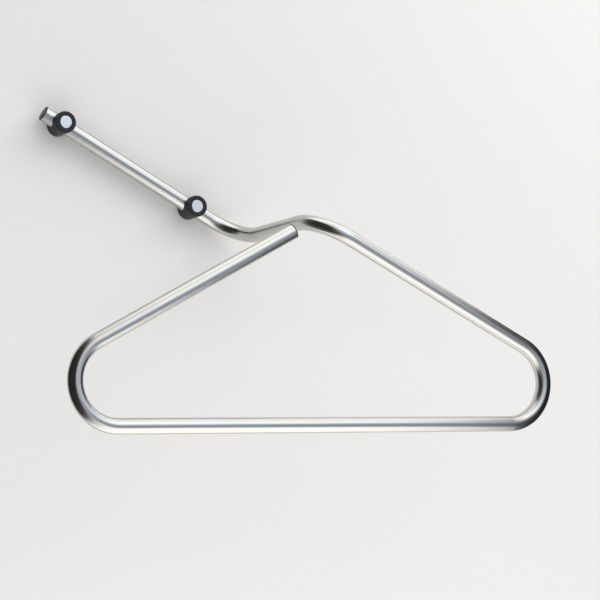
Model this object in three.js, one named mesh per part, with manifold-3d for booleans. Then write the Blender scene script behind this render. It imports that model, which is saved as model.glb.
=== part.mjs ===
// Wall-mounted clothes hanger: one bent steel tube, held off the wall by two round spacers.
//
// Millimetres, +Z up. The wall is the plane y = 0, the room is on its -Y side and +X is to the right.
// The origin lies on the wall, midway between the two fixing screws.
import * as THREE from 'three';
import { mergeVertices } from 'three/addons/utils/BufferGeometryUtils.js';
import Module from 'manifold-3d';

const wasm = await Module();
wasm.setup();

// ---- Driving dimensions ----

// Tube section
const tubeDiameter = 14;
const tubeWall = 1.5;
const bendRadius = 38;

// Route of the tube's centre line: arm along the wall, step out from it, loop parallel to it
const armFromWall = 10;
const armSlope = 29.3;
const fixingSpacing = 148;
const armPastOuterFixing = 18.5;
const armPastInnerFixing = 19.5;
const loopFromWall = 172;
const loopWidth = 473;
const shoulderSlope = 28;
const loopEndGap = 28;

// Spacers
const spacerDiameter = 20;
const spacerLength = 24;
const spacerFloor = 1.6;
const spacerNoseRadius = 0.8;
const spacerFootChamfer = 0.4;
const plugReliefDepth = 1.2;

// Covers in the spacers' noses
const coverDiameter = 11.5;
const coverThickness = 1.2;
const coverSkirtWall = 0.8;
const coverSkirtLength = 1.6;
const coverProud = 0.3;
const coverChamfer = 0.3;

// Screws
const screwDiameter = 4.5;
const screwLength = 55;
const screwPointLength = 6;
const screwHeadDiameter = 8.6;
const screwHeadHeight = 2.4;
const screwHeadEdge = 0.8;

// Wall plugs
const plugDiameter = 8;
const plugLength = 40;
const plugNoseLength = 5;
const plugNoseDiameter = 5.8;
const plugRidgeCount = 6;
const plugRidgeDepth = 0.5;
const plugPlainLength = 8;
const plugSlotWidth = 1.2;

// Caps in the tube's ends
const capThickness = 0.7;
const capEdgeRadius = 0.2;
const spigotLength = 8;
const spigotChamfer = 0.8;

// Clearances
const seatGap = 0.3;
const screwHoleGap = 0.4;

// Fineness
const tubeSides = 32;
const boreSides = 20;
const degreesPerStation = 9;
const spacerSides = 48;
const smallSides = 24;
const edgeSteps = 3;

// ---- Finishes ----

const satinSteel = { color: 0xb9bbbc, roughness: 0.32, metalness: 1 };
const blackPlastic = { color: 0x1b1b1f, roughness: 0.5, metalness: 0 };
const paleMetal = { color: 0xc2cdd4, roughness: 0.55, metalness: 0.6 };
const zincSteel = { color: 0xb4b6b0, roughness: 0.4, metalness: 1 };
const greyNylon = { color: 0x9a9d9c, roughness: 0.7, metalness: 0 };

// ---- Sizes that follow ----

const tubeRadius = tubeDiameter / 2;
const tubeBoreRadius = tubeRadius - tubeWall;
const spacerRadius = spacerDiameter / 2;
const coverRadius = coverDiameter / 2;
const screwRadius = screwDiameter / 2;
const screwHoleRadius = screwRadius + screwHoleGap;
const crossBoreRadius = tubeRadius + seatGap;
const coverBoreRadius = coverRadius + seatGap;
const plugRadius = plugDiameter / 2;

// Depths along the screws, counted from the wall into the room, so they are negative in y
const noseFace = -spacerLength;
const coverBoreFloor = -(armFromWall + crossBoreRadius + spacerFloor);

// ---- Solids ----

function toManifold(geometry) {
  const bare = geometry.clone();
  bare.deleteAttribute('normal');
  bare.deleteAttribute('uv');
  const merged = mergeVertices(bare);
  const vertProperties = new Float32Array(merged.getAttribute('position').array);
  const triVerts = new Uint32Array(merged.getIndex().array);
  return new wasm.Manifold(new wasm.Mesh({ numProp: 3, vertProperties, triVerts }));
}

function toGeometry(manifold) {
  const mesh = manifold.getMesh();
  const geometry = new THREE.BufferGeometry();
  geometry.setAttribute('position', new THREE.BufferAttribute(mesh.vertProperties, 3));
  geometry.setIndex(new THREE.BufferAttribute(mesh.triVerts, 1));
  return geometry;
}

function cut(body, tools) {
  const solids = tools.map(toManifold);
  const result = solids.reduce((rest, tool) => rest.subtract(tool), toManifold(body));
  return toGeometry(result);
}

// A lathe turns about +Y, so a profile is a list of [radius, y] with y rising up its outer side.
function turned(profile, sides) {
  return new THREE.LatheGeometry(profile.map(([radius, y]) => new THREE.Vector2(radius, y)), sides);
}

// Points of a quarter round edge of a profile, from one angle to the other about its centre.
function roundEdge(centreRadius, centreY, edgeRadius, startDegrees, endDegrees) {
  const points = [];
  for (let step = 0; step <= edgeSteps; step += 1) {
    const angle = THREE.MathUtils.degToRad(startDegrees + ((endDegrees - startDegrees) * step) / edgeSteps);
    points.push([centreRadius + edgeRadius * Math.cos(angle), centreY + edgeRadius * Math.sin(angle)]);
  }
  return points;
}

function part(name, geometry, finish) {
  const mesh = new THREE.Mesh(geometry, new THREE.MeshStandardMaterial(finish));
  mesh.name = name;
  return mesh;
}

// ---- Centre line of the tube ----

function directionBetween(start, end) {
  return end.clone().sub(start).normalize();
}

// Straight between its corners, and round each corner on an arc of one bending radius.
// Its stations are the ends of every straight and even steps of angle along every arc.
class BentLine extends THREE.Curve {
  constructor(corners, radius) {
    super();
    this.stations = [];
    const last = corners.length - 1;
    this.addStation(corners[0], directionBetween(corners[0], corners[1]));
    for (let index = 1; index < last; index += 1) {
      this.addArc(corners[index - 1], corners[index], corners[index + 1], radius);
    }
    this.addStation(corners[last], directionBetween(corners[last - 1], corners[last]));
  }

  get steps() {
    return this.stations.length - 1;
  }

  addStation(position, tangent) {
    this.stations.push({ position: position.clone(), tangent: tangent.clone() });
  }

  addArc(before, corner, after, radius) {
    const incoming = directionBetween(before, corner);
    const outgoing = directionBetween(corner, after);
    const turn = incoming.angleTo(outgoing);
    const inward = outgoing.clone().addScaledVector(incoming, -Math.cos(turn)).normalize();
    const start = corner.clone().addScaledVector(incoming, -radius * Math.tan(turn / 2));
    const arcSteps = Math.ceil(THREE.MathUtils.radToDeg(turn) / degreesPerStation);
    for (let step = 0; step <= arcSteps; step += 1) {
      const angle = (turn * step) / arcSteps;
      const position = start.clone();
      position.addScaledVector(incoming, radius * Math.sin(angle));
      position.addScaledVector(inward, radius * (1 - Math.cos(angle)));
      const tangent = incoming.clone().multiplyScalar(Math.cos(angle)).addScaledVector(inward, Math.sin(angle));
      this.addStation(position, tangent);
    }
  }

  stationAt(u) {
    return this.stations[Math.round(u * this.steps)];
  }

  getPointAt(u, target = new THREE.Vector3()) {
    return target.copy(this.stationAt(u).position);
  }

  getPoint(t, target = new THREE.Vector3()) {
    return this.getPointAt(t, target);
  }

  getTangentAt(u, target = new THREE.Vector3()) {
    return target.copy(this.stationAt(u).tangent);
  }
}

// Unit vector that runs to the right and down (or, below zero, up) at a slope, parallel to the wall.
function downhill(slopeDegrees) {
  const slope = THREE.MathUtils.degToRad(slopeDegrees);
  return new THREE.Vector3(Math.cos(slope), 0, -Math.sin(slope));
}

const armDirection = downhill(armSlope);
const armAxisAt = (distance) => armDirection.clone().multiplyScalar(distance).setY(-armFromWall);

const outerFixing = armAxisAt(-fixingSpacing / 2);
const innerFixing = armAxisAt(fixingSpacing / 2);
const armEnd = armAxisAt(-(fixingSpacing / 2 + armPastOuterFixing));
const stepFoot = armAxisAt(fixingSpacing / 2 + armPastInnerFixing + bendRadius);
const loopTop = stepFoot.clone().setY(-loopFromWall);

// The loop's lower corners are sharp here. Rounding one takes it this far in from its point.
const cornerAngle = THREE.MathUtils.degToRad(shoulderSlope);
const cornerSetback = bendRadius / Math.tan(cornerAngle / 2) - bendRadius;
const barHalfLength = loopWidth / 2 - tubeRadius + cornerSetback;
const barDrop = barHalfLength * Math.tan(cornerAngle);
const loopRight = loopTop.clone().add(new THREE.Vector3(barHalfLength, 0, -barDrop));
const loopLeft = loopTop.clone().add(new THREE.Vector3(-barHalfLength, 0, -barDrop));
const loopEnd = loopTop.clone().addScaledVector(downhill(-shoulderSlope), -loopEndGap);

const centreLine = new BentLine([armEnd, stepFoot, loopTop, loopRight, loopLeft, loopEnd], bendRadius);

// ---- Tube ----

function circle(radius, sides) {
  return new THREE.EllipseCurve(0, 0, radius, radius).getPoints(sides).slice(0, sides);
}

function screwHoleAt(fixing) {
  const hole = new THREE.CylinderGeometry(screwHoleRadius, screwHoleRadius, 2 * tubeDiameter, smallSides);
  return hole.translate(fixing.x, fixing.y, fixing.z);
}

function hangerTube() {
  const section = new THREE.Shape(circle(tubeRadius, tubeSides));
  section.holes.push(new THREE.Path(circle(tubeBoreRadius, boreSides)));
  const bent = new THREE.ExtrudeGeometry(section, { steps: centreLine.steps, extrudePath: centreLine });
  return part('hanger_tube', cut(bent, [screwHoleAt(outerFixing), screwHoleAt(innerFixing)]), satinSteel);
}

// A cap's flange closes the tube's end flush, and its spigot goes down the bore.
function endCap(name, end, outward) {
  const spigotRadius = tubeBoreRadius - seatGap;
  const face = seatGap + capThickness;
  const profile = [
    [0, -spigotLength],
    [spigotRadius - spigotChamfer, -spigotLength],
    [spigotRadius, -spigotLength + spigotChamfer],
    [spigotRadius, seatGap],
    [tubeRadius, seatGap],
    ...roundEdge(tubeRadius - capEdgeRadius, face - capEdgeRadius, capEdgeRadius, 0, 90),
    [0, face],
  ];
  const cap = part(name, turned(profile, tubeSides), blackPlastic);
  cap.position.copy(end);
  cap.quaternion.setFromUnitVectors(new THREE.Vector3(0, 1, 0), outward);
  return cap;
}

// ---- Fixings: each spacer stands on the wall, with the tube through it and a screw down its axis ----

function spacerBody(name) {
  const noseEdge = noseFace + spacerNoseRadius;
  const reliefRadius = plugRadius + screwHoleGap;
  const profile = [
    [coverBoreRadius, noseFace],
    ...roundEdge(spacerRadius - spacerNoseRadius, noseEdge, spacerNoseRadius, -90, 0),
    [spacerRadius, -spacerFootChamfer],
    [spacerRadius - spacerFootChamfer, 0],
    [reliefRadius, 0],
    [reliefRadius, -plugReliefDepth],
    [screwHoleRadius, -plugReliefDepth],
    [screwHoleRadius, coverBoreFloor],
    [coverBoreRadius, coverBoreFloor],
    [coverBoreRadius, noseFace],
  ];
  const crossBore = new THREE.CylinderGeometry(crossBoreRadius, crossBoreRadius, 2 * spacerDiameter, tubeSides);
  crossBore.applyQuaternion(new THREE.Quaternion().setFromUnitVectors(new THREE.Vector3(0, 1, 0), armDirection));
  crossBore.translate(0, -armFromWall, 0);
  return part(name, cut(turned(profile, spacerSides), [crossBore]), blackPlastic);
}

function coverDisc(name) {
  const face = noseFace - coverProud;
  const back = face + coverThickness;
  const profile = [
    [0, face],
    [coverRadius - coverChamfer, face],
    [coverRadius, face + coverChamfer],
    [coverRadius, back + coverSkirtLength],
    [coverRadius - coverSkirtWall, back + coverSkirtLength],
    [coverRadius - coverSkirtWall, back],
    [0, back],
  ];
  return part(name, turned(profile, spacerSides), paleMetal);
}

function wallScrew(name) {
  const headRadius = screwHeadDiameter / 2;
  const headTop = coverBoreFloor - screwHeadHeight;
  const tip = coverBoreFloor + screwLength;
  const profile = [
    [0, headTop],
    ...roundEdge(headRadius - screwHeadEdge, headTop + screwHeadEdge, screwHeadEdge, -90, 0),
    [headRadius, coverBoreFloor],
    [screwRadius, coverBoreFloor],
    [screwRadius, tip - screwPointLength],
    [0, tip],
  ];
  return part(name, turned(profile, smallSides), zincSteel);
}

// A plug's outside is a row of saw-tooth ridges between a plain neck and a tapered nose.
function wallPlug(name) {
  const boreRadius = screwRadius + seatGap;
  const ridgePitch = (plugLength - plugPlainLength - plugNoseLength) / plugRidgeCount;
  const ridges = [];
  for (let index = 0; index < plugRidgeCount; index += 1) {
    const start = plugPlainLength + index * ridgePitch;
    ridges.push([plugRadius, start], [plugRadius - plugRidgeDepth, start + ridgePitch]);
  }
  const profile = [
    [boreRadius, 0],
    [plugRadius, 0],
    ...ridges,
    [plugNoseDiameter / 2, plugLength],
    [boreRadius, plugLength],
    [boreRadius, 0],
  ];
  const slotLength = plugLength - plugPlainLength - plugNoseLength;
  const slotMiddle = plugPlainLength + slotLength / 2;
  const slot = new THREE.BoxGeometry(plugSlotWidth, slotLength, 2 * plugDiameter).translate(0, slotMiddle, 0);
  return part(name, cut(turned(profile, smallSides), [slot]), greyNylon);
}

function fixing(side, place) {
  const stack = new THREE.Group();
  stack.position.set(place.x, 0, place.z);
  stack.add(
    spacerBody(`spacer_body_${side}`),
    coverDisc(`cover_disc_${side}`),
    wallScrew(`wall_screw_${side}`),
    wallPlug(`wall_plug_${side}`),
  );
  return stack;
}

// ---- Assembly ----

const hanger = new THREE.Group();
hanger.add(
  hangerTube(),
  endCap('arm_end_cap', armEnd, armDirection.clone().negate()),
  endCap('loop_end_cap', loopEnd, downhill(-shoulderSlope)),
  fixing('outer', outerFixing),
  fixing('inner', innerFixing),
);

export default hanger;
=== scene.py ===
# %% [markdown]
# # A valet hanger on a wall
#
# The object is a clothes hanger for a bedroom or a hall, bent from one length of satin steel tube.
# A short arm runs along the wall through two black spacers, the tube then steps out into the room, and
# there it turns into a loop with sloping shoulders for a jacket and a straight bar for trousers.
#
# The solid model is already there as a fixed frame. This lesson builds the fine surfaces round it, one
# kind of piece at a time: the tube, its caps, the spacers, their covers, the screws and the wall plugs.

# %% Load the frame
import math

import bmesh
import bpy
from mathutils import Matrix, Vector


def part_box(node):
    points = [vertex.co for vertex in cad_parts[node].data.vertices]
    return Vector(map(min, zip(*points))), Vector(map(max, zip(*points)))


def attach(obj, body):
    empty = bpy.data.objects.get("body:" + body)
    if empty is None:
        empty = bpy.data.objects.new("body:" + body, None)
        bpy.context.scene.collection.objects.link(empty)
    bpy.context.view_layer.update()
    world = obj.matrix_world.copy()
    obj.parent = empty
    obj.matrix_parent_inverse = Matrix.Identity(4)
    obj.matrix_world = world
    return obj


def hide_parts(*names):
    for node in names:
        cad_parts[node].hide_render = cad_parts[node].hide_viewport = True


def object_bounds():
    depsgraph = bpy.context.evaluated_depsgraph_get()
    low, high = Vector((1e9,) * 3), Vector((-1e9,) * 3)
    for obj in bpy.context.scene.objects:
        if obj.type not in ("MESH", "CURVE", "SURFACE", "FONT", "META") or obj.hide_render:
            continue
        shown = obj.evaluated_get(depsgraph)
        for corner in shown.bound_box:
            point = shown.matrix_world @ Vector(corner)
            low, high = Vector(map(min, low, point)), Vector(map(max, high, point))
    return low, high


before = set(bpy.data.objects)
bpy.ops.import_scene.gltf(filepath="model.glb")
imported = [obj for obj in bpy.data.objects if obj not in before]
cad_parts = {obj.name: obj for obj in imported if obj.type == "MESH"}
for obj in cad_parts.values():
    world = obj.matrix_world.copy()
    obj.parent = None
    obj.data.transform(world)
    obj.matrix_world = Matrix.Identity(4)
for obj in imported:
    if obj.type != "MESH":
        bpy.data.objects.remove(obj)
cad_low, cad_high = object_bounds()
print("nodes:", len(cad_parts), "size in metres:", [round(side, 4) for side in cad_high - cad_low])

# %% [markdown]
# ## Where things are
#
# The frame tells where each spacer stands, so the arm's slope is the slope of the line between their
# axes. The tube's own box tells how far the loop stands off the wall, how wide it is and how low its bar
# hangs. Only what a box can't tell is written down here: the tube's section and how it is bent.

# %% Measure the frame
MILLIMETRE = 0.001
INTO_ROOM = Vector((0, -1, 0))
INTO_WALL = -INTO_ROOM

tube_radius = 7 * MILLIMETRE
tube_wall = 1.5 * MILLIMETRE
bend_radius = 38 * MILLIMETRE
arm_past_inner_fixing = 19.5 * MILLIMETRE
arm_past_outer_fixing = 18.5 * MILLIMETRE
shoulder_slope = math.radians(28)
loop_end_gap = 28 * MILLIMETRE
seat_gap = 0.3 * MILLIMETRE


def middle(node):
    low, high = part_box(node)
    return (low + high) / 2


tube_low, tube_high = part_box("hanger_tube")
spacer_low, spacer_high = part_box("spacer_body_outer")
arm_depth = tube_high.y - tube_radius
loop_depth = tube_low.y + tube_radius
outer_fixing = middle("spacer_body_outer")
inner_fixing = middle("spacer_body_inner")
outer_fixing.y = arm_depth
inner_fixing.y = arm_depth
arm_direction = (inner_fixing - outer_fixing).normalized()
print("arm slope in degrees:", round(math.degrees(math.asin(-arm_direction.z)), 2))
print("loop stands off the wall by", round(-loop_depth, 4), "and the arm by", round(-arm_depth, 4))

# %% [markdown]
# ## Camera
#
# A long lens from the left and a little below shows the step out from the wall and keeps the loop's
# sides nearly parallel. The camera is set by the angles it looks along, the point it looks at and a
# small roll, which is easier to read and to change than a matrix.

# %% Make the camera
camera_azimuth = -26.41
camera_elevation = -5.25
camera_roll = math.radians(-1.37)
camera_distance = 1.939
camera_lens = 132.7
camera_aim = Vector((0.0957, loop_depth, -0.1376))


def heading_at(azimuth, elevation):
    """A heading in degrees: azimuth 0 runs straight from the wall into the room, and 90 to the right."""
    a, e = math.radians(azimuth), math.radians(elevation)
    return Vector((math.sin(a) * math.cos(e), -math.cos(a) * math.cos(e), math.sin(e)))


camera_back = heading_at(camera_azimuth, camera_elevation)
camera = bpy.data.objects.new("camera", bpy.data.cameras.new("camera"))
bpy.context.scene.collection.objects.link(camera)
camera.data.lens = camera_lens
camera.location = camera_aim + camera_back * camera_distance
level = (-camera_back).to_track_quat("-Z", "Y").to_matrix()
camera.rotation_euler = (level @ Matrix.Rotation(camera_roll, 3, "Z")).to_euler()
bpy.context.scene.camera = camera
print("camera stands at", [round(value, 3) for value in camera.location])

# %% [markdown]
# ## Wall and light
#
# Satin steel has almost no colour of its own. What the eye reads as steel is the room in it: pale where
# it mirrors the window and the wall, and dark where it mirrors the two sides of the room. So the room's
# light comes first: a world that is blue and dim low down and warm and bright overhead.
#
# The wall and the floor show one face only. Seen from behind they are clear, so the back of the hanger
# can be looked at.

# %% Set the view and the world
bpy.context.scene.view_settings.view_transform = "Standard"

# How high a direction points, from -1 straight down to 1 straight up, and the light that comes from there
ROOM_LIGHT = [
    (0.0, (0.57, 0.66, 0.80, 1)),
    (0.3, (0.62, 0.70, 0.80, 1)),
    (0.8, (0.96, 0.92, 0.86, 1)),
]

world = bpy.data.worlds.new("studio")
world.use_nodes = True
nodes, links = world.node_tree.nodes, world.node_tree.links
direction = nodes.new("ShaderNodeTexCoord")
upright = nodes.new("ShaderNodeSeparateXYZ")
rise = nodes.new("ShaderNodeMapRange")
rise.inputs["From Min"].default_value = -1.0
sky = nodes.new("ShaderNodeValToRGB")
stops = sky.color_ramp.elements
while len(stops) < len(ROOM_LIGHT):
    stops.new(0.5)
for stop, (height, colour) in zip(stops, ROOM_LIGHT):
    stop.color = colour
    stop.position = (height + 1) / 2
links.new(direction.outputs["Generated"], upright.inputs["Vector"])
links.new(upright.outputs["Z"], rise.inputs["Value"])
links.new(rise.outputs["Result"], sky.inputs["Fac"])
links.new(sky.outputs["Color"], nodes["Background"].inputs["Color"])
nodes["Background"].inputs["Strength"].default_value = 1.0
bpy.context.scene.world = world
print("heights with a light of their own:", [height for height, colour in ROOM_LIGHT])


# %% Build the wall and the floor
def new_material(name):
    material = bpy.data.materials.new(name)
    material.use_nodes = True
    return material, material.node_tree.nodes, material.node_tree.links


def plane_piece(name, width, height, material):
    bm = bmesh.new()
    bmesh.ops.create_grid(bm, x_segments=1, y_segments=1, size=0.5)
    bmesh.ops.scale(bm, vec=(width, height, 1), verts=bm.verts)
    mesh = bpy.data.meshes.new(name)
    bm.to_mesh(mesh)
    bm.free()
    mesh.materials.append(material)
    plane = bpy.data.objects.new(name, mesh)
    bpy.context.scene.collection.objects.link(plane)
    return plane


def one_sided_paint(name, colour):
    """A matt paint that shows on the front of a plane and is clear from behind."""
    material, nodes, links = new_material(name)
    paint = nodes["Principled BSDF"]
    paint.inputs["Base Color"].default_value = (*colour, 1)
    paint.inputs["Roughness"].default_value = 0.9
    clear = nodes.new("ShaderNodeBsdfTransparent")
    side = nodes.new("ShaderNodeNewGeometry")
    one_sided = nodes.new("ShaderNodeMixShader")
    links.new(side.outputs["Backfacing"], one_sided.inputs["Fac"])
    links.new(paint.outputs["BSDF"], one_sided.inputs[1])
    links.new(clear.outputs["BSDF"], one_sided.inputs[2])
    links.new(one_sided.outputs["Shader"], nodes["Material Output"].inputs["Surface"])
    return material


wall_size = 12.0
floor_size = 60.0
wall_clearance = 0.2 * MILLIMETRE
hanging_height = 1.35

wall = plane_piece("wall", wall_size, wall_size, one_sided_paint("wall_paint", (0.777, 0.742, 0.704)))
wall.rotation_euler = (math.radians(90), 0, 0)
wall.location = (0, wall_clearance, 0)
floor = plane_piece("floor", floor_size, floor_size, one_sided_paint("floor_paint", (0.48, 0.53, 0.595)))
floor.location = (0, 0, -hanging_height)
print("the hanger hangs", hanging_height, "m above the floor")

# %% [markdown]
# Four lamps light the scene. The window is the only one that the steel mirrors. The glows stand for light
# that a pale floor and ceiling throw back, and the key gives the soft shadow down and to the left of the
# arm. A lamp is set by its radiance, which is how bright it looks, so its size can change by itself.

# %% Hang the lamps
hanger_middle = (cad_low + cad_high) / 2


def soft_border(nodes, links, value, softness):
    """0 at both ends of a lamp's side, which runs from 0 to 1, rising to 1 within a soft border."""
    to_middle = nodes.new("ShaderNodeMath")
    to_middle.operation = "PINGPONG"
    to_middle.inputs[1].default_value = 0.5
    links.new(value, to_middle.inputs[0])
    rise = nodes.new("ShaderNodeMapRange")
    rise.interpolation_type = "SMOOTHSTEP"
    rise.inputs["From Max"].default_value = softness
    links.new(to_middle.outputs["Value"], rise.inputs["Value"])
    return rise.outputs["Result"]


def lamp(name, place, heading, size, radiance, colour, softness):
    """An area lamp of a known radiance, whatever its size, with soft borders like a curtained window."""
    data = bpy.data.lights.new(name, "AREA")
    data.shape = "RECTANGLE"
    data.size, data.size_y = size
    data.energy = radiance * math.pi * data.size * data.size_y
    data.color = colour
    data.use_nodes = True
    nodes, links = data.node_tree.nodes, data.node_tree.links
    across = nodes.new("ShaderNodeSeparateXYZ")
    links.new(nodes.new("ShaderNodeNewGeometry").outputs["Parametric"], across.inputs["Vector"])
    both = nodes.new("ShaderNodeMath")
    both.operation = "MULTIPLY"
    links.new(soft_border(nodes, links, across.outputs["X"], softness), both.inputs[0])
    links.new(soft_border(nodes, links, across.outputs["Y"], softness), both.inputs[1])
    links.new(both.outputs["Value"], nodes["Emission"].inputs["Strength"])
    obj = bpy.data.objects.new(name, data)
    obj.location = place
    obj.rotation_euler = heading.to_track_quat("-Z", "Y").to_euler()
    obj.visible_camera = False
    bpy.context.scene.collection.objects.link(obj)
    print(name, "stands at", [round(value, 2) for value in place], "size", size)
    return obj


UP = Vector((0, 0, 1))
from_window = -heading_at(22, 34)
from_key = -heading_at(62, 36)

lamp(
    "window", hanger_middle - from_window * 2.6, from_window,
    size=(2.8, 3.0), radiance=1.1, colour=(0.87, 0.945, 1.0), softness=0.35,
)
floor_glow = lamp(
    "floor_glow", Vector((0.0, -0.7, -1.0)), UP,
    size=(2.4, 2.0), radiance=1.25, colour=(1.0, 0.985, 0.95), softness=0.2,
)
ceiling_glow = lamp(
    "ceiling_glow", Vector((0.9, -0.9, 1.3)), -UP,
    size=(2.4, 2.0), radiance=0.8, colour=(1.0, 0.98, 0.96), softness=0.3,
)
key = lamp(
    "key", hanger_middle - from_key * 1.5, from_key,
    size=(0.9, 0.9), radiance=3.8, colour=(1.0, 0.94, 0.87), softness=0.2,
)
for unseen in (floor_glow, ceiling_glow, key):
    unseen.visible_glossy = False

# %% [markdown]
# In a studio, cards stand beside polished metal, just out of view: black ones draw its edges and white
# ones fill its lower and upper sides. Here a card is a glowing plane whose borders fade to clear, so its
# reflection has no hard end. Only reflections show it: it throws no soft light and casts no shadow.

# %% Stand the cards round the hanger
def edge_fade(nodes, links, value, half, softness):
    """1 in the middle of a card and 0 at its edge, falling over a soft border."""
    distance = nodes.new("ShaderNodeMath")
    distance.operation = "ABSOLUTE"
    links.new(value, distance.inputs[0])
    fade = nodes.new("ShaderNodeMapRange")
    fade.interpolation_type = "SMOOTHSTEP"
    fade.inputs["From Min"].default_value = half - softness
    fade.inputs["From Max"].default_value = half
    fade.inputs["To Min"].default_value = 1
    fade.inputs["To Max"].default_value = 0
    links.new(distance.outputs["Value"], fade.inputs["Value"])
    return fade.outputs["Result"]


def mirror_card(name, place, facing, swing, half_sizes, borders, shade):
    """A card with borders that fade to clear. Its first side runs out from the wall, swung round its face."""
    material, nodes, links = new_material(name)
    nodes.remove(nodes["Principled BSDF"])
    place_on_card = nodes.new("ShaderNodeTexCoord")
    split = nodes.new("ShaderNodeSeparateXYZ")
    links.new(place_on_card.outputs["Object"], split.inputs["Vector"])
    both = nodes.new("ShaderNodeMath")
    both.operation = "MULTIPLY"
    for index, (half, border) in enumerate(zip(half_sizes, borders)):
        links.new(edge_fade(nodes, links, split.outputs[index], half, border), both.inputs[index])
    glow = nodes.new("ShaderNodeEmission")
    glow.inputs["Color"].default_value = (*shade, 1)
    clear = nodes.new("ShaderNodeBsdfTransparent")
    mix = nodes.new("ShaderNodeMixShader")
    links.new(both.outputs["Value"], mix.inputs["Fac"])
    links.new(clear.outputs["BSDF"], mix.inputs[1])
    links.new(glow.outputs["Emission"], mix.inputs[2])
    links.new(mix.outputs["Shader"], nodes["Material Output"].inputs["Surface"])
    card = plane_piece(name, 2 * half_sizes[0], 2 * half_sizes[1], material)
    square = Matrix((INTO_ROOM, facing.cross(INTO_ROOM), facing)).transposed().to_4x4()
    card.matrix_world = Matrix.Translation(place) @ square @ Matrix.Rotation(math.radians(swing), 4, "Z")
    card.visible_camera = False
    card.visible_diffuse = False
    card.visible_shadow = False
    print(name, "stands at", place)
    return card


SIDEWAYS = Vector((1, 0, 0))
mirror_card(
    "left_card", (-0.28, 0, -0.025), SIDEWAYS, swing=0,
    half_sizes=(1.8, 0.925), borders=(1.2, 0.5), shade=(0.03, 0.027, 0.025),
)
mirror_card(
    "right_card", (0.5, 0, -0.245), SIDEWAYS, swing=0,
    half_sizes=(0.60, 0.345), borders=(0.2, 0.12), shade=(0.02, 0.022, 0.025),
)
mirror_card(
    "floor_card", (0.07, 0, -0.54), UP, swing=15,
    half_sizes=(0.96, 0.45), borders=(0.5, 0.28), shade=(1.85, 1.82, 1.75),
)
mirror_card(
    "ceiling_card", (0.40, 0, 0.5), UP, swing=0,
    half_sizes=(0.75, 0.85), borders=(0.5, 0.45), shade=(1.72, 1.72, 1.69),
)

# %% [markdown]
# ## Finishes
#
# Tubes for furniture are given their satin finish on a belt while they turn, so the scratches run round
# them. Each point of the tube therefore carries where it was before the tube was bent: how far along,
# and where on the round section. Noise drawn in those coordinates follows the bends without a seam. The
# covers and the screws have a finer, even grain in place of scratches.

# %% Noise, and what it drives
def noise(nodes, links, vector, scale, detail=2.0, roughness=0.5):
    texture = nodes.new("ShaderNodeTexNoise")
    texture.inputs["Scale"].default_value = scale
    texture.inputs["Detail"].default_value = detail
    texture.inputs["Roughness"].default_value = roughness
    links.new(vector, texture.inputs["Vector"])
    return texture.outputs["Fac"]


def stretched(nodes, links, vector, scale):
    mapping = nodes.new("ShaderNodeMapping")
    mapping.inputs["Scale"].default_value = scale
    links.new(vector, mapping.inputs["Vector"])
    return mapping.outputs["Vector"]


def mapped(nodes, links, value, low, high, from_low=0.0, from_high=1.0):
    remap = nodes.new("ShaderNodeMapRange")
    remap.inputs["From Min"].default_value = from_low
    remap.inputs["From Max"].default_value = from_high
    remap.inputs["To Min"].default_value = low
    remap.inputs["To Max"].default_value = high
    links.new(value, remap.inputs["Value"])
    return remap.outputs["Result"]


def bumped(nodes, links, height, strength, distance):
    bump = nodes.new("ShaderNodeBump")
    bump.inputs["Strength"].default_value = strength
    bump.inputs["Distance"].default_value = distance
    links.new(height, bump.inputs["Height"])
    return bump.outputs["Normal"]


def tinted(nodes, links, value, dark, light):
    mix = nodes.new("ShaderNodeMix")
    mix.data_type = "RGBA"
    mix.inputs["A"].default_value = (*dark, 1)
    mix.inputs["B"].default_value = (*light, 1)
    links.new(value, mix.inputs["Factor"])
    return mix.outputs["Result"]


# %% Satin steel
scratch_share = 0.5


def satin_steel(name, coordinates, grain, dark, light, smooth, rough):
    """Brushed steel whose scratches are noise stretched by the three numbers of grain."""
    material, nodes, links = new_material(name)
    steel = nodes["Principled BSDF"]
    steel.inputs["Metallic"].default_value = 1.0
    if coordinates == "Object":
        source = nodes.new("ShaderNodeTexCoord").outputs["Object"]
    else:
        attribute = nodes.new("ShaderNodeAttribute")
        attribute.attribute_name = coordinates
        source = attribute.outputs["Vector"]
    drawn_out = stretched(nodes, links, source, grain)
    scratches = noise(nodes, links, drawn_out, scale=1.0, detail=4.0, roughness=0.65)
    clouds = noise(nodes, links, source, scale=45.0, detail=3.0)
    links.new(tinted(nodes, links, scratches, dark, light), steel.inputs["Base Color"])
    blend = nodes.new("ShaderNodeMath")
    blend.operation = "MULTIPLY_ADD"
    blend.inputs[1].default_value = scratch_share
    links.new(scratches, blend.inputs[0])
    links.new(mapped(nodes, links, clouds, 0.0, 1 - scratch_share), blend.inputs[2])
    roughness = mapped(nodes, links, blend.outputs["Value"], smooth, rough, from_low=0.3, from_high=0.7)
    links.new(roughness, steel.inputs["Roughness"])
    relief = bumped(nodes, links, scratches, strength=0.12, distance=0.02 * MILLIMETRE)
    links.new(relief, steel.inputs["Normal"])
    return material


tube_steel = satin_steel(
    "satin_steel_tube", "unbent", grain=(9000, 260, 260),
    dark=(0.515, 0.507, 0.485), light=(0.612, 0.605, 0.583), smooth=0.18, rough=0.25,
)
cover_steel = satin_steel(
    "satin_steel_cover", "Object", grain=(2600, 2600, 2600),
    dark=(0.60, 0.62, 0.63), light=(0.72, 0.74, 0.75), smooth=0.34, rough=0.46,
)
zinc_steel = satin_steel(
    "zinc_plated_steel", "Object", grain=(3000, 3000, 3000),
    dark=(0.50, 0.50, 0.46), light=(0.62, 0.62, 0.58), smooth=0.28, rough=0.42,
)
print("steel finishes:", tube_steel.name, cover_steel.name, zinc_steel.name)

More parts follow.
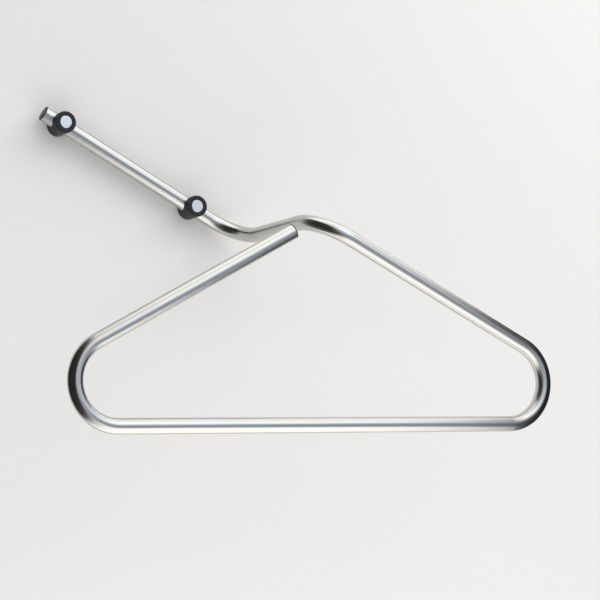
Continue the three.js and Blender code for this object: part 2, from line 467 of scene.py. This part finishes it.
# %% [markdown]
# Scratches that run round the tube blur what it mirrors along the tube and leave it sharp round it, which
# gives the long straight bands. The shader needs to know which way is along, so it takes its tangent from
# a UV map of the tube's skin laid flat, with U along the tube.

# %% Blur the tube's reflections along it
def blur_along(material, uv_map, share):
    nodes, links = material.node_tree.nodes, material.node_tree.links
    steel = nodes["Principled BSDF"]
    steel.inputs["Anisotropic"].default_value = share
    along = nodes.new("ShaderNodeTangent")
    along.direction_type = "UV_MAP"
    along.uv_map = uv_map
    links.new(along.outputs["Tangent"], steel.inputs["Tangent"])


blur_along(tube_steel, "unrolled", 0.75)
print("blurred along:", tube_steel.name)

# %% [markdown]
# The spacers are turned from black plastic and the caps are moulded from it. Its face is fine and matt, the
# skin is never quite even, and light catches it softly along the side, so the roughness follows slow
# clouds of noise and a shallow bump follows a fine one.

# %% Black and grey plastic
def matt_plastic(name, dark, light, smooth, rough, grain_scale):
    material, nodes, links = new_material(name)
    plastic = nodes["Principled BSDF"]
    plastic.inputs["Specular IOR Level"].default_value = 0.35
    source = nodes.new("ShaderNodeTexCoord").outputs["Object"]
    grain = noise(nodes, links, source, grain_scale, detail=3.0)
    clouds = noise(nodes, links, source, grain_scale / 12, detail=2.0)
    links.new(tinted(nodes, links, clouds, dark, light), plastic.inputs["Base Color"])
    roughness = mapped(nodes, links, clouds, smooth, rough, from_low=0.3, from_high=0.7)
    links.new(roughness, plastic.inputs["Roughness"])
    relief = bumped(nodes, links, grain, strength=0.25, distance=0.03 * MILLIMETRE)
    links.new(relief, plastic.inputs["Normal"])
    return material


black_plastic = matt_plastic(
    "matt_black_plastic", dark=(0.005, 0.005, 0.006), light=(0.010, 0.010, 0.012),
    smooth=0.36, rough=0.46, grain_scale=2500,
)
grey_nylon = matt_plastic(
    "moulded_nylon", dark=(0.28, 0.29, 0.29), light=(0.36, 0.37, 0.37),
    smooth=0.5, rough=0.62, grain_scale=1200,
)
print("plastic finishes:", black_plastic.name, grey_nylon.name)

# %% [markdown]
# ## The tube
#
# A bending machine clamps the tube, turns a length of it round a die, and slides it on to the next bend.
# The mesh is made the same way: a ring is drawn out along each straight and carried round each bend.
# Drawing a curve with a bevel would be quicker, but it wouldn't give every bend its true die radius.

# %% Find the tube's corners
def downhill(slope):
    return Vector((math.cos(slope), 0, -math.sin(slope)))


arm_end = outer_fixing - arm_direction * arm_past_outer_fixing
step_foot = inner_fixing + arm_direction * (arm_past_inner_fixing + bend_radius)
loop_top = Vector((step_foot.x, loop_depth, step_foot.z))
bar_height = tube_low.z + tube_radius
bar_drop = loop_top.z - bar_height
loop_right = loop_top + downhill(shoulder_slope) * bar_drop / math.sin(shoulder_slope)
loop_left = Vector((2 * loop_top.x - loop_right.x, loop_depth, bar_height))
uphill = Vector((math.cos(shoulder_slope), 0, math.sin(shoulder_slope)))
loop_end = loop_top - uphill * loop_end_gap
tube_corners = [arm_end, step_foot, loop_top, loop_right, loop_left, loop_end]
print("tube corners:", [[round(value, 4) for value in corner] for corner in tube_corners])

# %% Draw the tube through its bends
TUBE_SIDES = 96
BEND_STEP = math.radians(2)
STRAIGHT_STEP = 0.02


def carry_ring(bm, ring_edges, motion, travel, unbent):
    """Extrudes a ring of edges by one motion. The new ring keeps its place on the round section."""
    grown = bmesh.ops.extrude_edge_only(bm, edges=ring_edges)["geom"]
    verts = [item for item in grown if isinstance(item, bmesh.types.BMVert)]
    fresh = set(verts)
    for vert in verts:
        behind = next(edge.other_vert(vert) for edge in vert.link_edges if edge.other_vert(vert) not in fresh)
        start = behind[unbent]
        vert[unbent] = Vector((start.x + travel, start.y, start.z))
    bmesh.ops.transform(bm, matrix=motion, verts=verts)
    return [edge for edge in grown if isinstance(edge, bmesh.types.BMEdge)]


def straight_run(bm, ring_edges, heading, length, unbent):
    steps = max(1, round(length / STRAIGHT_STEP))
    motion = Matrix.Translation(heading * length / steps)
    for _ in range(steps):
        ring_edges = carry_ring(bm, ring_edges, motion, length / steps, unbent)
    return ring_edges


def bend(bm, ring_edges, start, heading, next_heading, unbent):
    turn = heading.angle(next_heading)
    inward = (next_heading - heading * math.cos(turn)).normalized()
    pivot = start + inward * bend_radius
    steps = math.ceil(turn / BEND_STEP)
    spin = Matrix.Rotation(turn / steps, 4, heading.cross(next_heading))
    motion = Matrix.Translation(pivot) @ spin @ Matrix.Translation(-pivot)
    for _ in range(steps):
        ring_edges = carry_ring(bm, ring_edges, motion, bend_radius * turn / steps, unbent)
    return ring_edges


# %% Lay the tube's skin flat
def unroll(bm, unbent):
    """Lays the tube's skin flat in a UV map: U runs along the tube and V runs round it."""
    flat = bm.loops.layers.uv.new("unrolled")
    for face in bm.faces:
        turns = [math.atan2(loop.vert[unbent].z, loop.vert[unbent].y) for loop in face.loops]
        for loop, turn in zip(face.loops, turns):
            whole_turn = 2 * math.pi if turn < max(turns) - math.pi else 0
            loop[flat].uv = (loop.vert[unbent].x, (turn + whole_turn) * tube_radius)


# %% Bend one length of tube
def bent_tube(corners):
    bm = bmesh.new()
    unbent = bm.verts.layers.float_vector.new("unbent")
    headings = [(after - before).normalized() for before, after in zip(corners, corners[1:])]
    ring = bmesh.ops.create_circle(bm, segments=TUBE_SIDES, radius=tube_radius)["verts"]
    for vert in ring:
        vert[unbent] = Vector((0, vert.co.x, vert.co.y))
    facing = headings[0].to_track_quat("Z", "Y").to_matrix().to_4x4()
    bmesh.ops.transform(bm, matrix=Matrix.Translation(corners[0]) @ facing, verts=ring)
    ring_edges = bm.edges[:]
    place = corners[0]
    for corner, heading, next_heading in zip(corners[1:], headings, headings[1:]):
        setback = bend_radius * math.tan(heading.angle(next_heading) / 2)
        start = corner - heading * setback
        ring_edges = straight_run(bm, ring_edges, heading, (start - place).length, unbent)
        ring_edges = bend(bm, ring_edges, start, heading, next_heading, unbent)
        place = corner + next_heading * setback
    straight_run(bm, ring_edges, headings[-1], (corners[-1] - place).length, unbent)
    unroll(bm, unbent)
    return bm


# %% Turn, cut and place a piece
SMOOTH_ANGLE = math.radians(32)


def piece_from(bm, name, material):
    mesh = bpy.data.meshes.new(name)
    bm.to_mesh(mesh)
    bm.free()
    mesh.materials.append(material)
    piece = bpy.data.objects.new(name, mesh)
    bpy.context.scene.collection.objects.link(piece)
    return piece


def settle(piece, node):
    """Shades a finished piece, lets it stand for its CAD node and says what it measures."""
    piece.data.shade_smooth()
    piece.data.set_sharp_from_angle(angle=SMOOTH_ANGLE)
    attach(piece, "root")
    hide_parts(node)
    size = [round(side / MILLIMETRE, 2) for side in piece.dimensions]
    print(piece.name, "faces:", len(piece.data.polygons), "size in mm:", size)
    return piece


def cut(piece, cutter_bms):
    """Cuts a piece with closed tool shapes and keeps the result as its mesh."""
    for index, tool_bm in enumerate(cutter_bms):
        tool = piece_from(tool_bm, f"{piece.name}_tool", piece.data.materials[0])
        boolean = piece.modifiers.new(f"cut_{index}", "BOOLEAN")
        boolean.operation = "DIFFERENCE"
        boolean.solver = "EXACT"
        boolean.object = tool
        depsgraph = bpy.context.evaluated_depsgraph_get()
        result = bpy.data.meshes.new_from_object(piece.evaluated_get(depsgraph))
        piece.modifiers.clear()
        piece.data = result
        bpy.data.objects.remove(tool)
    return piece


def rod(radius, start, end, sides):
    """A closed round tool shape between two points."""
    bm = bmesh.new()
    bmesh.ops.create_cone(
        bm, cap_ends=True, segments=sides, radius1=radius, radius2=radius, depth=(end - start).length
    )
    facing = (end - start).to_track_quat("Z", "Y").to_matrix().to_4x4()
    bmesh.ops.transform(bm, matrix=Matrix.Translation((start + end) / 2) @ facing, verts=bm.verts)
    return bm


# %% Make the tube
screw_radius = 4.5 / 2 * MILLIMETRE
hole_clearance = 0.4 * MILLIMETRE
screw_hole_radius = screw_radius + hole_clearance
HOLE_SIDES = 48

tube_bm = bent_tube(tube_corners)
bmesh.ops.recalc_face_normals(tube_bm, faces=tube_bm.faces)
bmesh.ops.solidify(tube_bm, geom=tube_bm.faces[:], thickness=tube_wall)
tube = piece_from(tube_bm, "bent_tube", tube_steel)
through = Vector((0, 2 * tube_radius, 0))
fixings = (outer_fixing, inner_fixing)
cut(tube, [rod(screw_hole_radius, place - through, place + through, HOLE_SIDES) for place in fixings])
settle(tube, "hanger_tube")

# %% [markdown]
# ## The end caps
#
# A black plastic cap closes each end of the tube. It has a flange as wide as the tube, with a rounded rim,
# and a spigot that is pushed into the bore. Its outline is drawn once, from the axis to the rim and back,
# and spun round the axis. The poles and the seam are merged, so the cap is one closed shell.

# %% A lathe
def turned(outline, sides):
    """Spins an outline of (radius, height) round Z. Both of its ends lie on the axis."""
    bm = bmesh.new()
    verts = [bm.verts.new((radius, 0, height)) for radius, height in outline]
    for before, after in zip(verts, verts[1:]):
        bm.edges.new((before, after))
    bmesh.ops.spin(
        bm, geom=bm.verts[:] + bm.edges[:], cent=(0, 0, 0), axis=(0, 0, 1), angle=2 * math.pi, steps=sides,
        use_merge=True,
    )
    bmesh.ops.remove_doubles(bm, verts=bm.verts, dist=0.000001)
    bmesh.ops.recalc_face_normals(bm, faces=bm.faces)
    return bm


def rounded(corner, before, after, radius, steps=5):
    """Points that round one corner of an outline off, on its way from before to after."""
    corner, before, after = Vector(corner), Vector(before), Vector(after)
    start = corner + (before - corner).normalized() * radius
    end = corner + (after - corner).normalized() * radius
    centre = start + end - corner
    points = []
    for step in range(steps + 1):
        share = step / steps * math.pi / 2
        points.append(centre + (start - centre) * math.cos(share) + (end - centre) * math.sin(share))
    return [tuple(point) for point in points]


def placed(bm, place, heading, across="Y"):
    """Turns a piece from the lathe's Z axis to its own heading and moves it to its place."""
    facing = heading.to_track_quat("Z", across).to_matrix().to_4x4()
    bmesh.ops.transform(bm, matrix=Matrix.Translation(place) @ facing, verts=bm.verts)
    return bm


# %% Turn the caps
cap_thickness = 0.7 * MILLIMETRE
cap_edge_radius = 0.2 * MILLIMETRE
spigot_radius = tube_radius - tube_wall - seat_gap
spigot_length = 8 * MILLIMETRE
spigot_chamfer = 0.8 * MILLIMETRE


def end_cap(name, node, place, heading):
    rim = (tube_radius, cap_thickness)
    outline = [
        (0, -seat_gap - spigot_length),
        (spigot_radius - spigot_chamfer, -seat_gap - spigot_length),
        (spigot_radius, -seat_gap - spigot_length + spigot_chamfer),
        (spigot_radius, 0),
        (tube_radius, 0),
        *rounded(rim, (tube_radius, 0), (0, cap_thickness), cap_edge_radius),
        (0, cap_thickness),
    ]
    bm = placed(turned(outline, TUBE_SIDES), place + heading * seat_gap, heading)
    return settle(piece_from(bm, name, black_plastic), node)


end_cap("arm_cap", "arm_end_cap", arm_end, -arm_direction)
end_cap("loop_cap", "loop_end_cap", loop_end, uphill)

# %% [markdown]
# ## The spacers
#
# Each spacer holds the arm off the wall and hides its screw. It is turned from a bar with a rounded front
# edge, then bored from the front for the screw and its cover, and bored across for the tube. The cross
# bore is a real boolean cut, because only that gives the saddle-shaped mouths where the tube goes in.

# %% Turn the spacers
spacer_radius = (spacer_high.x - spacer_low.x) / 2
spacer_floor = 1.6 * MILLIMETRE
nose_radius = 0.8 * MILLIMETRE
nose_bore_edge = 0.25 * MILLIMETRE
foot_chamfer = 0.4 * MILLIMETRE
cover_radius = 11.5 / 2 * MILLIMETRE
cover_bore_radius = cover_radius + seat_gap
cross_bore_radius = tube_radius + seat_gap
cover_bore_floor = outer_fixing.y - cross_bore_radius - spacer_floor
plug_radius = 8 / 2 * MILLIMETRE
relief_radius = plug_radius + hole_clearance
relief_depth = 1.2 * MILLIMETRE
nose_face = spacer_low.y
cross_bore_reach = 1.5 * spacer_radius
screw_bore_overlap = 0.7 * MILLIMETRE


def spacer(name, node, place):
    """The lathe's height is the distance from the wall."""
    height = -nose_face
    bore_floor = -cover_bore_floor
    bore_mouth = (cover_bore_radius, height)
    outline = [
        (0, relief_depth),
        (relief_radius, relief_depth),
        (relief_radius, 0),
        (spacer_radius - foot_chamfer, 0),
        (spacer_radius, foot_chamfer),
        *rounded((spacer_radius, height), (spacer_radius, 0), (0, height), nose_radius, steps=6),
        *rounded(bore_mouth, (spacer_radius, height), (cover_bore_radius, 0), nose_bore_edge, steps=3),
        (cover_bore_radius, bore_floor),
        (0, bore_floor),
    ]
    foot = Vector((place.x, 0, place.z))
    piece = piece_from(placed(turned(outline, TUBE_SIDES), foot, INTO_ROOM), name, black_plastic)
    reach = arm_direction * cross_bore_reach
    cross_bore = rod(cross_bore_radius, place - reach, place + reach, TUBE_SIDES)
    bore_start = foot + INTO_ROOM * (relief_depth - screw_bore_overlap)
    bore_end = foot + INTO_ROOM * (bore_floor + screw_bore_overlap)
    screw_bore = rod(screw_hole_radius, bore_start, bore_end, HOLE_SIDES)
    return settle(cut(piece, [cross_bore, screw_bore]), node)


spacer("outer_spacer", "spacer_body_outer", outer_fixing)
spacer("inner_spacer", "spacer_body_inner", inner_fixing)

# %% [markdown]
# ## The covers
#
# A small pale metal disc with a chamfered rim snaps in over each screw. It is pressed like a cup, so it has
# a short skirt behind. The rim is what catches the light, so the chamfer gets its own two rings of faces.

# %% Turn the covers
cover_thickness = 1.2 * MILLIMETRE
cover_proud = 0.3 * MILLIMETRE
cover_chamfer = 0.3 * MILLIMETRE
cover_chamfer_break = 0.12 * MILLIMETRE
skirt_wall = 0.8 * MILLIMETRE
skirt_length = 1.6 * MILLIMETRE


def cover(name, node, place):
    face = -nose_face + cover_proud
    back = face - cover_thickness
    outline = [
        (0, back),
        (cover_radius - skirt_wall, back),
        (cover_radius - skirt_wall, back - skirt_length),
        (cover_radius, back - skirt_length),
        (cover_radius, face - cover_chamfer),
        (cover_radius - cover_chamfer_break, face - cover_chamfer_break),
        (cover_radius - cover_chamfer, face),
        (0, face),
    ]
    bm = placed(turned(outline, TUBE_SIDES), Vector((place.x, 0, place.z)), INTO_ROOM)
    return settle(piece_from(bm, name, cover_steel), node)


cover("outer_cover", "cover_disc_outer", outer_fixing)
cover("inner_cover", "cover_disc_inner", inner_fixing)

# %% [markdown]
# ## The screws
#
# The cover hides the screw in use, but the screw is what carries the hanger, so it has a real recess and
# thread. The thread could be a bump in the material, which looks flat from the side. Here a small wedge
# is spun round the shank, and each step of the spin also moves it down, which is how a die cuts one.

# %% Cut a thread and a recess
screw_length = 55 * MILLIMETRE
screw_point = 6 * MILLIMETRE
tip_radius = 0.1 * MILLIMETRE
head_radius = 8.6 / 2 * MILLIMETRE
head_height = 2.4 * MILLIMETRE
head_edge = 0.8 * MILLIMETRE
thread_pitch = 2 * MILLIMETRE
thread_depth = 0.5 * MILLIMETRE
thread_turns = 19
ridge_foot = 0.32 * thread_pitch
ridge_crest = 0.06 * thread_pitch
thread_run_in = 1.5 * thread_pitch
thread_top = screw_length - (thread_turns + 0.5) * thread_pitch
shank_end = thread_top - 0.5 * thread_pitch
core_start = thread_top - 0.1 * thread_pitch
THREAD_STEPS = 24
driver_mouth = 4.6 * MILLIMETRE
driver_tip = 2.0 * MILLIMETRE
driver_thickness = 0.9 * MILLIMETRE
driver_length = 2.8 * MILLIMETRE


def core_radius(depth):
    """The shank under the thread: straight, then running to a point."""
    point_share = min(1, max(0, (screw_length - depth) / screw_point))
    return tip_radius + (screw_radius - thread_depth - tip_radius) * point_share


def thread():
    """The lathe's height is the depth below the head. The ridge grows out of the shank at its start."""
    bm = bmesh.new()
    sunk = screw_radius - 2 * thread_depth
    thinnest = 0.02 * MILLIMETRE
    section = [
        (sunk, -ridge_foot),
        (sunk, ridge_foot),
        (screw_radius, ridge_crest),
        (screw_radius, -ridge_crest),
    ]
    verts = [bm.verts.new((radius, 0, thread_top + height)) for radius, height in section]
    face = bm.faces.new(verts)
    grown = bmesh.ops.spin(
        bm, geom=[face], cent=(0, 0, 0), axis=(0, 0, 1), dvec=(0, 0, thread_pitch / THREAD_STEPS),
        angle=thread_turns * 2 * math.pi, steps=thread_turns * THREAD_STEPS, use_duplicate=False,
    )
    for vert in bm.verts:
        across = Vector((vert.co.x, vert.co.y, 0))
        height = across.length - (screw_radius - thread_depth)
        run_in = min(1, max(0, (vert.co.z - thread_top) / thread_run_in))
        if height > 0:
            height *= run_in
        across.length = max(thinnest, core_radius(vert.co.z) + height)
        vert.co = Vector((across.x, across.y, vert.co.z))
    bmesh.ops.recalc_face_normals(bm, faces=bm.faces)
    print("thread ends:", len(grown["geom_last"]), "volume in mm3:", round(bm.calc_volume() * 1e9, 2))
    return bm


def blade(turn, top):
    """One tapered blade of the driver. Two of them crossed cut the recess."""
    bm = bmesh.new()
    bmesh.ops.create_cube(bm, size=1)
    for vert in bm.verts:
        width = driver_mouth if vert.co.z < 0 else driver_tip
        vert.co = Vector((vert.co.x * width, vert.co.y * driver_thickness, vert.co.z * driver_length))
    spin = Matrix.Rotation(turn, 4, "Z")
    bmesh.ops.transform(bm, matrix=Matrix.Translation((0, 0, top)) @ spin, verts=bm.verts)
    return bm


def joined(bm, other):
    mesh = bpy.data.meshes.new("part")
    other.to_mesh(mesh)
    other.free()
    bm.from_mesh(mesh)
    bpy.data.meshes.remove(mesh)
    return bm


# %% Make the screws
def screw(name, node, place):
    outline = [
        (0, -head_height),
        *rounded((head_radius, -head_height), (0, -head_height), (head_radius, 0), head_edge),
        (head_radius, 0),
        (screw_radius, 0),
        (screw_radius, shank_end),
        (screw_radius - thread_depth, core_start),
        (screw_radius - thread_depth, screw_length - screw_point),
        (tip_radius, screw_length),
        (0, screw_length),
    ]
    seat = Vector((place.x, cover_bore_floor, place.z))
    body = placed(turned(outline, HOLE_SIDES), seat, INTO_WALL)
    piece = piece_from(body, name, zinc_steel)
    cut(piece, [placed(blade(turn, -head_height), seat, INTO_WALL) for turn in (0, math.pi / 2)])
    bm = bmesh.new()
    bm.from_mesh(piece.data)
    joined(bm, placed(thread(), seat, INTO_WALL)).to_mesh(piece.data)
    bm.free()
    return settle(piece, node)


screw("outer_screw", "wall_screw_outer", outer_fixing)
screw("inner_screw", "wall_screw_inner", inner_fixing)

# %% [markdown]
# ## The wall plugs
#
# A nylon plug grips the hole in the wall. Its saw-tooth rings are part of the spun outline, and a slot
# lets its two halves spread when the screw goes in. The slot is a box cut right through the sleeve.

# %% Make the wall plugs
plug_length = 40 * MILLIMETRE
plug_neck = 8 * MILLIMETRE
plug_nose_length = 5 * MILLIMETRE
plug_nose_radius = 5.8 / 2 * MILLIMETRE
plug_bore_radius = screw_radius + seat_gap
tooth_count = 6
tooth_depth = 0.5 * MILLIMETRE
slot_width = 1.2 * MILLIMETRE


def plug(name, node, place):
    tooth_pitch = (plug_length - plug_neck - plug_nose_length) / tooth_count
    teeth = []
    for index in range(tooth_count):
        start = plug_neck + index * tooth_pitch
        teeth += [(plug_radius, start), (plug_radius - tooth_depth, start + tooth_pitch)]
    outline = [
        (plug_bore_radius, 0),
        (plug_radius, 0),
        *teeth,
        (plug_nose_radius, plug_length),
        (plug_bore_radius, plug_length),
        (plug_bore_radius, 0),
    ]
    foot = Vector((place.x, 0, place.z))
    sleeve = piece_from(placed(turned(outline, HOLE_SIDES), foot, INTO_WALL), name, grey_nylon)
    slot = bmesh.new()
    slot_length = plug_length - plug_neck - plug_nose_length
    bmesh.ops.create_cube(slot, size=1)
    bmesh.ops.scale(slot, vec=(slot_width, slot_length, 4 * plug_radius), verts=slot.verts)
    bmesh.ops.translate(slot, vec=foot + Vector((0, plug_neck + slot_length / 2, 0)), verts=slot.verts)
    return settle(cut(sleeve, [slot]), node)


plug("outer_plug", "wall_plug_outer", outer_fixing)
plug("inner_plug", "wall_plug_inner", inner_fixing)
